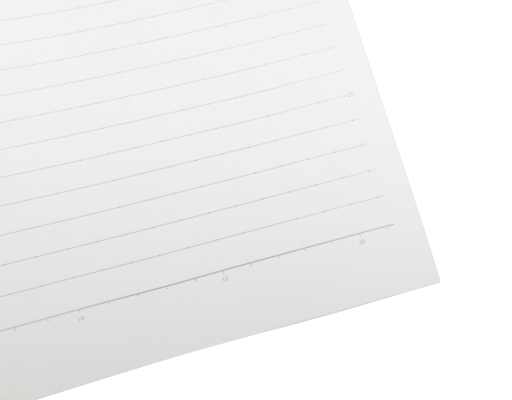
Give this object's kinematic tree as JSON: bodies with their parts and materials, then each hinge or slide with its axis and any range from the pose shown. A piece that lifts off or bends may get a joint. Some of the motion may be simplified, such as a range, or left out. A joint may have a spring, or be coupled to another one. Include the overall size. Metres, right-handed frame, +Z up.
{
  "type": "ruled notebook",
  "caption": "Thin glue-bound ruled notebook, lying open at its first page with the front cover turned over; both covers swing on the spine tape.",
  "frame": {"origin": "at table height under the fold of the front cover, midway along the spine, which is the bottom centre of the open notebook", "axes": "+X from the spine to the fore-edge of the sheets, +Y to the head of the page, +Z up from the table"},
  "size_m": [0.359, 0.252, 0.0058],
  "materials": {
    "sheets": "matt writing paper",
    "glue": "dried white glue",
    "cover_card": "smooth matt card",
    "tape": "fine cloth tape",
    "line_ink": "printed line",
    "rule_ink": "printed rule"
  },
  "bodies": {
    "sheets": {"page_block": "sheets", "binding_glue": "glue", "spine_tape": "tape", "ruled_lines": "line_ink", "head_rule": "rule_ink", "foot_rule": "rule_ink"},
    "front_cover": {"front_cover": "cover_card", "front_tape_flap": "tape"},
    "back_cover": {"back_cover": "cover_card", "back_tape_flap": "tape"}
  },
  "joints": [
    {"name": "front_cover_fold", "type": "hinge", "parent": "sheets", "child": "front_cover", "pos_m": [0, 0, 0.0034], "axis": [0, 1, 0], "range_deg": [0, 180]},
    {"name": "back_cover_fold", "type": "hinge", "parent": "sheets", "child": "back_cover", "pos_m": [0, 0, 0.00052], "axis": [0, 1, 0], "range_deg": [0, 175]}
  ]
}
